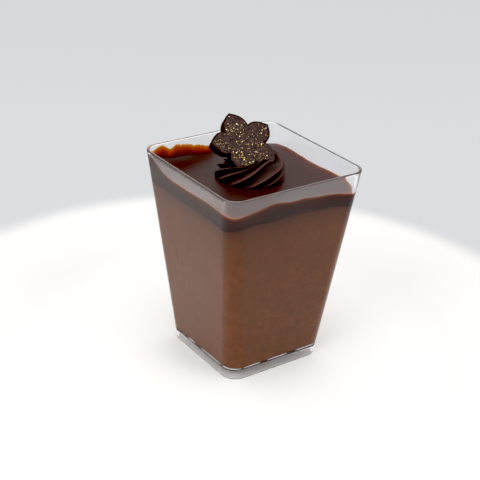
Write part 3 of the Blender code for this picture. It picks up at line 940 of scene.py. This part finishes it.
class DESSERT_OT_glaze(bpy.types.Operator):
    """Pours the glaze on the mousse, with its wavy edge drawn up the walls"""

    bl_idname = "dessert.glaze"
    bl_label = "Glaze"

    def execute(self, context):
        cup = context.scene.dessert_cup
        filling = context.scene.dessert_filling
        form = CupForm(cup)
        edge = glaze_edge_heights(filling, form.angle)
        rings = []
        for share in GLAZE_UNDER_SHARES:
            rings.append(form.filled(mousse_heights(filling, form, share) - GLAZE_SINKS, share))
        thin = [np.zeros(len(edge))] * len(rings)
        under = mousse_heights(filling, form, 1.0) - GLAZE_SINKS
        for rise in EDGE_ROWS:
            rings.append(form.filled(under + (edge - under) * rise))
            thin.append(np.exp(-(edge - under) * (1 - rise) / filling.edge_fade))
        wall_points = len(rings) * len(edge)
        for share in GLAZE_TOP_SHARES:
            from_wall = (1 - share) * form.half_side(filling.glaze_top)
            rings.append(form.filled(glaze_heights(filling, form, share), share))
            thin.append((1 + swelling(form.angle, THICK_EDGE)) * math.exp(-from_wall / THIN_TOP))
        body = loft("chocolate_glaze", rings, (0, 0, filling.mousse_top), (0, 0, filling.glaze_top))
        attribute(body, "thin", np.concatenate([*thin, [0.0, 0.0]]))
        finish_piece(body, glaze_look(filling, "chocolate_glaze", **GLAZE_SHINE), "glaze", "glaze")
        on_wall = [max(face.vertices) < wall_points for face in body.data.polygons]
        dull = glaze_look(filling, "glaze_on_wall", Roughness=0.6, Specular_IOR_Level=0.0)
        finish_faces(body, dull, on_wall)
        return {"FINISHED"}


class DESSERT_OT_smear(bpy.types.Operator):
    """Smears a thin coat of glaze up the back wall"""

    bl_idname = "dessert.smear"
    bl_label = "Smear"

    def execute(self, context):
        cup = context.scene.dessert_cup
        filling = context.scene.dessert_filling
        form = CupForm(cup, 1)
        along = np.linspace(SMEAR_FROM, SMEAR_TO, SMEAR_STEPS)
        share = np.linspace(0.0, 1.0, SMEAR_STEPS)
        wall = form.half_side(filling.glaze_edge)
        base = glaze_edge_heights(filling, np.degrees(np.arctan2(wall, along))) - SMEAR_SINKS
        ends = ease(np.minimum(share / SMEAR_ENDS[0], (1 - share) / SMEAR_ENDS[1]))
        top = base + (smear_top(along) - base) * (SMEAR_END_SHARE + (1 - SMEAR_END_SHARE) * ends)
        sheets = ([], [])
        depths = []
        for row in np.linspace(0.0, 1.0, SMEAR_ROWS):
            z = base + (top - base) * row
            wall = form.half_side(z) - form.wall(z)
            below = top - z
            thick = SMEAR_THICKNESS * ease(below / SMEAR_THINS_OVER) + SMEAR_THINNEST
            sheets[0].append(np.column_stack((along, wall + SMEAR_IN_WALL, z)))
            sheets[1].append(np.column_stack((along, wall - thick, z)))
            depths.append(below)
        points = np.concatenate(sheets[0] + sheets[1])
        smear = mesh_object("glaze_smear", points, closed_sheet(SMEAR_ROWS, SMEAR_STEPS))
        depth = np.concatenate(depths * 2)
        attribute(smear, "thin", np.exp(-depth / filling.smear_fade))
        finish_piece(smear, smear_look(filling), "glaze", "glaze")
        return {"FINISHED"}


class DESSERT_OT_air(bpy.types.Operator):
    """Lays thin lines of trapped air between the mousse and the walls, at the floor's edge, painted pale as a
    reflection
    """

    bl_idname = "dessert.air"
    bl_label = "Trapped Air"

    def execute(self, context):
        cup = context.scene.dessert_cup
        form = CupForm(cup)
        air = air_reflection_look()
        for name, low, high in AIR_LINES:
            chosen = (form.angle >= low) & (form.angle <= high)
            steps = int(chosen.sum())
            along = np.sin(np.linspace(0.0, math.pi, steps)) ** AIR_TAPER
            middle = cup.floor_top + AIR_RISE + ripple(form.level(0.0, 0.0)[chosen], *AIR_RIPPLE)
            sheets = ([], [])
            for row in np.linspace(-0.5, 0.5, AIR_ROWS):
                z = np.zeros(len(form.core))
                z[chosen] = middle + row * AIR_HEIGHT * along
                sheets[0].append(form.ring(z, form.wall(z) - WETTING - AIR_THICKNESS)[chosen])
                sheets[1].append(form.ring(z, form.wall(z) - WETTING + AIR_THICKNESS)[chosen])
            line = mesh_object(name, np.concatenate(sheets[0] + sheets[1]), closed_sheet(AIR_ROWS, steps))
            finish_piece(line, air, "clear_plastic")
        return {"FINISHED"}


def outline_at(share):
    """Radius, rise and length run so far, at a share of the swirl's outline."""
    radii, rises = np.array(SWIRL_OUTLINE).T * MM
    lengths = np.concatenate(([0.0], np.cumsum(np.hypot(np.diff(radii), np.diff(rises)))))
    run = share * lengths[-1]
    return float(np.interp(run, lengths, radii)), float(np.interp(run, lengths, rises)), run


def twist(run):
    """Turn of the ribs, in degrees, after that much of the outline."""
    bent = min(run, TWIST_STEADY_FROM)
    steady_rate = TWIST_RATE + 2 * TWIST_GROWTH * TWIST_STEADY_FROM
    return TWIST_RATE * bent + TWIST_GROWTH * bent * bent + steady_rate * (run - bent)


def drag(start, run):
    """Extra turn of the ribs that start at those angles: fast to build up and slow to die away."""
    past = (start - DRAG_FROM) % 360
    late = 1 - ease((past - DRAG_RISE) / (360 - DRAG_RISE))
    return DRAG_TURN * np.where(past > DRAG_RISE, late, ease(past / DRAG_RISE)) * ease(run / DRAG_RUN)


def rounded(from_crest):
    """The way from a crest to a valley, with the crest's edge rounded off."""
    full = math.hypot(1.0, RIB_EDGE) - RIB_EDGE
    return (np.hypot(from_crest, RIB_EDGE) - RIB_EDGE) / full


def from_crests():
    """How far down its rib each point of a ring lies, from 0 on the crest to 1 in the valley."""
    along = (np.arange(RIBS * RIB_STEPS) / RIB_STEPS) % 1.0
    return np.where(along < VALLEY, along / VALLEY, (1 - along) / (1 - VALLEY))


def swirl_ring(share, base):
    """One ring of the swirl, with a narrow crest on each rib and a hollow valley between ribs."""
    radius, rise, run = outline_at(share)
    up = rise / CREST_RISE if radius > CREST_RADIUS else 1.0
    middle = SWIRL_CENTRE + SWIRL_LEAN * up
    lying = RIB_LYING * float(ease((WIDEST_RADIUS - radius) / RIBS_LIE_OVER))
    depth = RIB_DEPTH * min(1.0, radius / RIBS_FADE_FROM) * min(1.0, TOE_DEPTH + run / TOE_RUN)
    inwards = depth * (1 - (1 - rounded(from_crests())) ** RIB_SHARPNESS)
    start = FIRST_RIB + 360 * np.arange(RIBS * RIB_STEPS) / (RIBS * RIB_STEPS)
    angle = start + twist(run) + drag(start, run)
    slope = swelling(angle, SLOPE_SWELLS) * float(ease(up)) * radius / WIDEST_RADIUS
    lift = swelling(angle, CREST_SWELLS) * float(ease(up))
    r = radius - slope - inwards * (1 - lying)
    z = base + np.maximum(0.0, rise + lift - inwards * lying)
    turn = np.radians(angle)
    return np.column_stack((middle.x + r * np.cos(turn), middle.y + r * np.sin(turn), z))


class DESSERT_OT_swirl(bpy.types.Operator):
    """Pipes the swirl of twelve twisted ribs"""

    bl_idname = "dessert.swirl"
    bl_label = "Swirl"

    def execute(self, context):
        filling = context.scene.dessert_filling
        base = filling.glaze_top - SWIRL_SINKS
        rings = [swirl_ring(i / (SWIRL_RINGS - 1), base) for i in range(SWIRL_RINGS)]
        crown = rings[-1].mean(axis=0)
        made = loft("piped_swirl", rings, (SWIRL_CENTRE.x, SWIRL_CENTRE.y, base), tuple(crown))
        # How much of the painted highlight each point of a ring takes, most on the crests
        crest = np.exp(-((from_crests() / CREST_HIGHLIGHT_WIDTH) ** 2))
        attribute(made, "crest", [*np.tile(crest, SWIRL_RINGS), 0.0, 0.0])
        finish_piece(made, swirl_look(context.scene.dessert_swirl), "swirl", "swirl")
        return {"FINISHED"}


def around(turn, radius):
    """A point in the flower's plane, by its direction in degrees and its radius."""
    return Vector((math.cos(math.radians(turn)), math.sin(math.radians(turn)))) * radius


def petal_side(notch, tip):
    """One side of a petal from its notch to its tip, bulging most near the notch."""
    run = tip - notch
    out = Vector((-run.y, run.x)).normalized()
    if out.dot(notch) < 0:
        out = -out
    points = []
    for i in range(PETAL_STEPS + 1):
        t = i / PETAL_STEPS
        bulge = out * PETAL_BULGE * 4 * t * (1 - t) * (1 + PETAL_SKEW * (1 - 2 * t))
        points.append(notch + run * t + bulge)
    return points


def petal_outline():
    """The flower's outline in its own plane: petals with pointed tips, each a little different."""
    points = []
    for i, tip in enumerate(PETAL_TIPS):
        before = petal_side(around(*PETAL_NOTCHES[i - 1]), around(*tip))
        after = petal_side(around(*PETAL_NOTCHES[i]), around(*tip))
        points += before[:-1] + after[:0:-1]
    return points


def in_shaded_rim(point, outline):
    """Whether a point of the plate is on its sides or in the band of painted shade along its upper outline.
    """
    nearest = min((Vector(point[:2]) - edge).length for edge in outline)
    return nearest < SHADED_RIM_WIDTH and (point[1] > SHADED_RIM_FROM or point[2] < -SHADED_RIM_WIDTH)


def flower_matrix(depth):
    """Places a plate whose middle is that far behind the flower's face."""
    turn = math.radians(FLOWER_TURN)
    rise = math.radians(FLOWER_ELEVATION)
    normal = Vector((math.sin(turn) * math.cos(rise), -math.cos(turn) * math.cos(rise), math.sin(rise)))
    across = Vector((math.cos(turn), math.sin(turn), 0.0))
    placed = Matrix((across, normal.cross(across), normal)).transposed().to_4x4()
    placed.translation = FLOWER_CENTRE - normal * depth
    return placed


def apply_modifiers(obj):
    """The evaluated mesh becomes the object's own."""
    graph = bpy.context.evaluated_depsgraph_get()
    mesh = bpy.data.meshes.new_from_object(obj.evaluated_get(graph))
    obj.modifiers.clear()
    obj.data = mesh


class DESSERT_OT_flower(bpy.types.Operator):
    """Cuts the flower plate from dark chocolate and presses it into the swirl"""

    bl_idname = "dessert.flower"
    bl_label = "Chocolate Flower"

    def execute(self, context):
        flower = context.scene.dessert_flower
        outline = petal_outline()
        flat = np.array([(p.x, p.y, 0.0) for p in outline])
        down = np.array((0.0, 0.0, -flower.thickness))
        rings = [flat * share + down for share in FACE_SHARES[::-1]]
        rings += [flat + down, flat]
        rings += [flat * share for share in FACE_SHARES]
        plate = loft("flower_plate", rings, tuple(down), (0.0, 0.0, 0.0))
        rounding = plate.modifiers.new("rounding", "BEVEL")
        rounding.width = flower.rounding
        rounding.segments = ROUNDING_STEPS
        rounding.limit_method = "ANGLE"
        rounding.angle_limit = math.radians(ROUNDED_FROM)
        apply_modifiers(plate)
        # Faces that get the painted shade: the sides and the band along the upper outline
        shaded_rims = [in_shaded_rim(face.center, outline) for face in plate.data.polygons]
        plate.data.transform(flower_matrix(0.0))
        plate.data.shade_smooth()
        plate.data.set_sharp_from_angle(angle=math.radians(SHARP_FROM))
        finish_piece(plate, chocolate_look(flower), "dark_chocolate", "flower")
        finish_faces(plate, shaded_rim_look(flower), shaded_rims)
        return {"FINISHED"}


def inside(point, outline, margin):
    """Whether a point lies inside the outline by the margin: a ray's crossings, and each side's distance."""
    crossings = 0
    for a, b in zip(outline, outline[1:] + outline[:1]):
        side = b - a
        if (a.y > point.y) != (b.y > point.y):
            crossings += point.x < a.x + side.x * (point.y - a.y) / side.y
        along = max(0.0, min(1.0, (point - a).dot(side) / side.length_squared))
        if (point - a - side * along).length < margin:
            return False
    return crossings % 2 == 1


def flake_places():
    """Places of the gold flakes on the flower's face, thick in some clusters and thin elsewhere."""
    outline = petal_outline()
    draw = random.Random(FLAKE_SEED)
    places = []
    for across, up, spread, number in FLAKE_CLUSTERS:
        placed = 0
        while placed < number:
            place = Vector((draw.gauss(across, spread), draw.gauss(up, spread)))
            clear = all((place - other).length > FLAKE_SPACING for other in places)
            if clear and inside(place, outline, FLAKE_EDGE):
                places.append(place)
                placed += 1
    return places


class FlakeTree(Nodes):
    """Geometry Nodes that lay a small irregular flake on each point."""

    def __init__(self, material):
        self.tree = bpy.data.node_groups.new("gold_flakes", "GeometryNodeTree")
        super().__init__(self.tree)
        sockets = self.tree.interface
        sockets.new_socket("Geometry", in_out="OUTPUT", socket_type="NodeSocketGeometry")
        sockets.new_socket("Points", in_out="INPUT", socket_type="NodeSocketGeometry")
        self.inputs = {}
        for label, kind in (("Size", "Float"), ("Thickness", "Float"), ("Seed", "Int")):
            made = sockets.new_socket(label, in_out="INPUT", socket_type="NodeSocket" + kind)
            self.inputs[label] = made.identifier
        given = self.add("NodeGroupInput").outputs
        self.seed = given["Seed"]
        form = {"Vertices": FLAKE_SIDES, "Radius": 0.5, "Depth": given["Thickness"]}
        flake = self.add("GeometryNodeMeshCylinder", form)
        drawn = self.random(0, 0.0, 1.0)
        rare = self.times(self.times(drawn, drawn), drawn)
        length = self.figure("MULTIPLY_ADD", rare, FLAKE_LONGER_BY, FLAKE_SHORTEST)
        wide = self.random(1, *FLAKE_WIDTHS)
        sized = self.times(length, given["Size"])
        scale = self.add("ShaderNodeCombineXYZ", {"X": sized, "Y": self.times(sized, wide), "Z": 1.0})
        turn = self.add("ShaderNodeCombineXYZ", {
            "X": self.random(2, -FLAKE_TILT, FLAKE_TILT),
            "Y": self.random(3, -FLAKE_TILT, FLAKE_TILT),
            "Z": self.random(4, 0.0, math.tau),
        })
        laid = self.add("GeometryNodeInstanceOnPoints", {
            "Points": given["Points"],
            "Instance": flake.outputs["Mesh"],
            "Rotation": turn.outputs["Vector"],
            "Scale": scale.outputs["Vector"],
        })
        toned = self.add("GeometryNodeStoreNamedAttribute", {
            "Geometry": laid.outputs["Instances"],
            "Name": "tone",
            "Value": self.random(5, 0.0, 1.0),
        }, domain="INSTANCE")
        real = self.add("GeometryNodeRealizeInstances", {"Geometry": toned.outputs["Geometry"]})
        gilded = self.add("GeometryNodeSetMaterial", {
            "Geometry": real.outputs["Geometry"],
            "Material": material,
        })
        self.add("NodeGroupOutput", {"Geometry": gilded.outputs["Geometry"]})

    def random(self, shift, low, high):
        """A number drawn for each flake, from the seed shifted by so much."""
        made = self.add("FunctionNodeRandomValue", data_type="FLOAT")
        numbers = [socket for socket in made.inputs if socket.type == "VALUE"]
        self.feed(numbers[0], low)
        self.feed(numbers[1], high)
        self.feed(made.inputs["Seed"], self.figure("ADD", self.seed, shift) if shift else self.seed)
        return next(socket for socket in made.outputs if socket.type == "VALUE")

    def times(self, first, second):
        """Two numbers multiplied."""
        return self.figure("MULTIPLY", first, second)

    def lay(self, obj, **values):
        """Runs the tree on the object and keeps its result as a plain mesh."""
        modifier = obj.modifiers.new("flakes", "NODES")
        modifier.node_group = self.tree
        for label, value in values.items():
            modifier[self.inputs[label]] = value
        apply_modifiers(obj)


class DESSERT_OT_flakes(bpy.types.Operator):
    """Scatters gold flakes on the flower's face"""

    bl_idname = "dessert.flakes"
    bl_label = "Gold Flakes"

    def execute(self, context):
        flower = context.scene.dessert_flower
        places = [(p.x, p.y, 0.0) for p in flake_places()]
        gold = gold_look()
        flakes = mesh_object("gold_flakes", places, [])
        sizes = {"Size": flower.flake_size, "Thickness": flower.flake_thickness}
        FlakeTree(gold).lay(flakes, **sizes, Seed=flower.flake_seed)
        flakes.data.transform(flower_matrix(-FLAKE_LIFT))
        finish_piece(flakes, gold, "gold_flakes")
        return {"FINISHED"}


class DESSERT_OT_stage(bpy.types.Operator):
    """Sets the floor with its painted pool of light, the soft studio light and the camera"""

    bl_idname = "dessert.stage"
    bl_label = "Stage and Camera"

    def execute(self, context):
        stage = context.scene.dessert_stage
        self.floor(stage)
        self.sky(context.scene, stage)
        self.lamp("key", stage.key_power, KEY_PLACE)
        self.lamp("fill", stage.fill_power, FILL_PLACE)
        self.camera(context.scene)
        self.exposure(context.scene.view_settings, stage)
        return {"FINISHED"}

    def exposure(self, view, stage):
        """Plain colours with the deepest shadows printed black."""
        view.view_transform = "Standard"
        view.use_curve_mapping = True
        view.curve_mapping.black_level = (stage.black_level,) * 3
        view.curve_mapping.update()

    def floor(self, stage):
        """A wide round floor."""
        turns = np.linspace(0, math.tau, FLOOR_STEPS, endpoint=False)
        points = [(FLOOR_RADIUS * math.cos(t), FLOOR_RADIUS * math.sin(t), 0.0) for t in turns]
        made = mesh_object("floor", points, [tuple(range(FLOOR_STEPS))])
        made.data.materials.append(lit_pool_floor_look(stage))

    def sky(self, scene, stage):
        """Soft light that is dim near the horizon and bright overhead."""
        world = bpy.data.worlds.new("studio")
        world.use_nodes = True
        scene.world = world
        sky = Nodes(world.node_tree)
        way = sky.add("ShaderNodeTexCoord").outputs["Generated"]
        height = sky.add("ShaderNodeSeparateXYZ", {"Vector": way}).outputs["Z"]
        steep = sky.figure("POWER", height, SKY_STEEPNESS)
        background = sky.nodes["Background"].inputs
        sky.feed(background["Strength"], sky.figure("MULTIPLY_ADD", steep, stage.sky_high, stage.sky_low))
        sky.feed(background["Color"], (1.0, 1.0, 1.0))

    def lamp(self, name, power, place):
        """A square soft lamp that looks at the cup."""
        light = bpy.data.lights.new(name, "AREA")
        light.energy = power
        light.size = LAMP_WIDTH
        made = bpy.data.objects.new(name, light)
        made.location = place
        made.rotation_euler = (LAMP_AIM - Vector(place)).to_track_quat("-Z", "Y").to_euler()
        bpy.context.scene.collection.objects.link(made)

    def camera(self, scene):
        """The camera, from its angles, its distance and its shift across the view."""
        azimuth = math.radians(CAMERA_AZIMUTH)
        elevation = math.radians(CAMERA_ELEVATION)
        roll = math.radians(CAMERA_ROLL)
        level = math.cos(elevation)
        back = Vector((math.sin(azimuth) * level, -math.cos(azimuth) * level, math.sin(elevation)))
        flat_right = Vector((math.cos(azimuth), math.sin(azimuth), 0.0))
        flat_up = back.cross(flat_right)
        right = flat_right * math.cos(roll) + flat_up * math.sin(roll)
        up = flat_up * math.cos(roll) - flat_right * math.sin(roll)
        across, upwards = CAMERA_SHIFTED
        placed = Matrix((right, up, back)).transposed().to_4x4()
        placed.translation = CAMERA_AIM + back * CAMERA_DISTANCE + right * across + up * upwards
        data = bpy.data.cameras.new("camera")
        data.lens = CAMERA_LENS
        data.clip_start = CAMERA_CLIP
        made = bpy.data.objects.new("camera", data)
        made.matrix_world = placed
        scene.collection.objects.link(made)
        scene.camera = made


class DESSERT_PT_panel(bpy.types.Panel):
    """Lists the dessert's settings and the operators that make its pieces"""

    bl_idname = "DESSERT_PT_panel"
    bl_label = "Chocolate Mousse Cup"
    bl_space_type = "VIEW_3D"
    bl_region_type = "UI"
    bl_category = "Dessert"

    def draw(self, context):
        for name in SETTINGS:
            box = self.layout.box()
            group = getattr(context.scene, name)
            for key in group.bl_rna.properties.keys():
                if key not in ("rna_type", "name"):
                    box.prop(group, key)
        for operator in OPERATORS:
            self.layout.operator(operator.bl_idname)


SETTINGS = {
    "dessert_cup": CupSettings,
    "dessert_filling": FillingSettings,
    "dessert_swirl": SwirlSettings,
    "dessert_flower": FlowerSettings,
    "dessert_stage": StageSettings,
}
OPERATORS = (
    DESSERT_OT_cup,
    DESSERT_OT_mousse,
    DESSERT_OT_glaze,
    DESSERT_OT_smear,
    DESSERT_OT_air,
    DESSERT_OT_swirl,
    DESSERT_OT_flower,
    DESSERT_OT_flakes,
    DESSERT_OT_stage,
)


def register():
    for made in (*SETTINGS.values(), *OPERATORS, DESSERT_PT_panel):
        bpy.utils.register_class(made)
    for name, group in SETTINGS.items():
        setattr(bpy.types.Scene, name, PointerProperty(type=group))


def unregister():
    for name in SETTINGS:
        delattr(bpy.types.Scene, name)
    for made in (DESSERT_PT_panel, *OPERATORS[::-1], *list(SETTINGS.values())[::-1]):
        bpy.utils.unregister_class(made)


def main():
    """Makes every piece."""
    register()
    bpy.ops.dessert.cup()
    bpy.ops.dessert.mousse()
    bpy.ops.dessert.glaze()
    bpy.ops.dessert.smear()
    bpy.ops.dessert.air()
    bpy.ops.dessert.swirl()
    bpy.ops.dessert.flower()
    bpy.ops.dessert.flakes()
    bpy.ops.dessert.stage()


if __name__ == "__main__":
    main()
